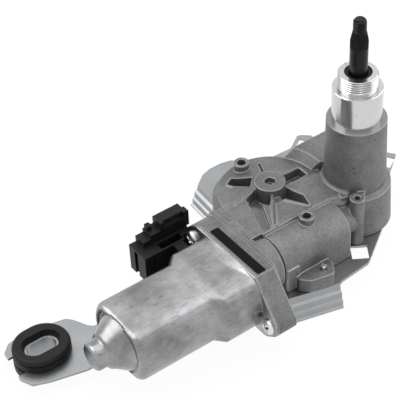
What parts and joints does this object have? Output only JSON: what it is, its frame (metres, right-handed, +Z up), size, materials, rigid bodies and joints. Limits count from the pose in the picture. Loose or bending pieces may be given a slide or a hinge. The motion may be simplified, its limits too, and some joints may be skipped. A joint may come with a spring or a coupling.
{
  "type": "wiper motor",
  "caption": "Rear wiper motor with a cranked reversing gearbox, threaded spindle sleeve, can motor, connector and a pressed bracket with a grommet.",
  "frame": {"origin": "centre of the spindle sleeve's shoulder, on the output shaft's axis", "axes": "+Z up the output shaft, X along the motor with the can towards -X, Y across"},
  "size_m": [0.2958, 0.15, 0.1609],
  "materials": {
    "cast_aluminium": "satin",
    "turned_aluminium": "polished",
    "zinc_plated_steel": "satin",
    "black_steel": "satin",
    "plain_steel": "satin",
    "bronze": "satin",
    "copper": "satin",
    "magnet": "matte",
    "rubber": "matte",
    "black_plastic": "satin",
    "white_nylon": "satin",
    "carbon": "matte"
  },
  "bodies": {
    "base": {"gear_housing": "cast_aluminium", "spindle_sleeve": "turned_aluminium", "upper_bush": "bronze", "lower_bush": "bronze", "thrust_washer": "plain_steel", "shaft_seal": "rubber", "keeper_washer": "plain_steel", "wheel_axle": "plain_steel", "wheel_washer": "plain_steel", "axle_clip": "plain_steel", "cover_gasket": "rubber", "mounting_bracket": "zinc_plated_steel", "bracket_screw_1": "zinc_plated_steel", "bracket_screw_2": "zinc_plated_steel", "bracket_screw_3": "zinc_plated_steel", "bracket_screw_4": "zinc_plated_steel", "grommet": "rubber", "grommet_sleeve": "zinc_plated_steel", "motor_can": "zinc_plated_steel", "can_screw_1": "zinc_plated_steel", "can_screw_2": "zinc_plated_steel", "magnet_1": "magnet", "magnet_2": "magnet", "brush_card": "black_plastic", "brush_1": "carbon", "brush_2": "carbon", "brush_spring_1": "plain_steel", "brush_spring_2": "plain_steel", "connector_housing": "black_plastic", "connector_terminals": "copper", "label_strip": "black_plastic", "drive_bearing": "plain_steel", "worm_end_bush": "bronze", "end_bush": "bronze"},
    "output": {"output_shaft": "black_steel", "output_pinion": "plain_steel", "shaft_circlip": "plain_steel"},
    "keeper": {"keeper_link": "plain_steel", "sector_pivot_pin": "plain_steel"},
    "sector": {"sector_plate": "plain_steel"},
    "wheel": {"worm_wheel": "white_nylon", "crank_pin": "plain_steel"},
    "armature": {"armature_shaft": "plain_steel", "lamination_core": "plain_steel", "armature_windings": "copper", "commutator": "copper"}
  },
  "joints": [
    {"name": "armature_spin", "type": "hinge", "parent": "base", "child": "armature", "pos_m": [-0.12, -0.0145, -0.0825], "axis": [1, 0, 0], "continuous": true},
    {"name": "wheel_spin", "type": "hinge", "parent": "base", "child": "wheel", "pos_m": [-0.0482, 0.0231, -0.0825], "axis": [0, 0, 1], "continuous": true},
    {"name": "output_turn", "type": "hinge", "parent": "base", "child": "output", "pos_m": [0, 0, 0], "axis": [0, 0, 1], "range_deg": [-55, 55]},
    {"name": "keeper_swing", "type": "hinge", "parent": "base", "child": "keeper", "pos_m": [0, 0, -0.09], "axis": [0, 0, 1], "range_deg": [-20.7, 20.7]},
    {"name": "sector_swing", "type": "hinge", "parent": "keeper", "child": "sector", "pos_m": [-0.00742, 0.02283, -0.0935], "axis": [0, 0, 1], "range_deg": [-20.7, 20.7]}
  ],
  "couplings": [
    {"joint": "wheel_spin", "follows": "armature_spin", "ratio": -0.02},
    {"joint": "keeper_swing", "follows": "output_turn", "ratio": 0.375},
    {"joint": "sector_swing", "follows": "output_turn", "ratio": -0.375}
  ]
}
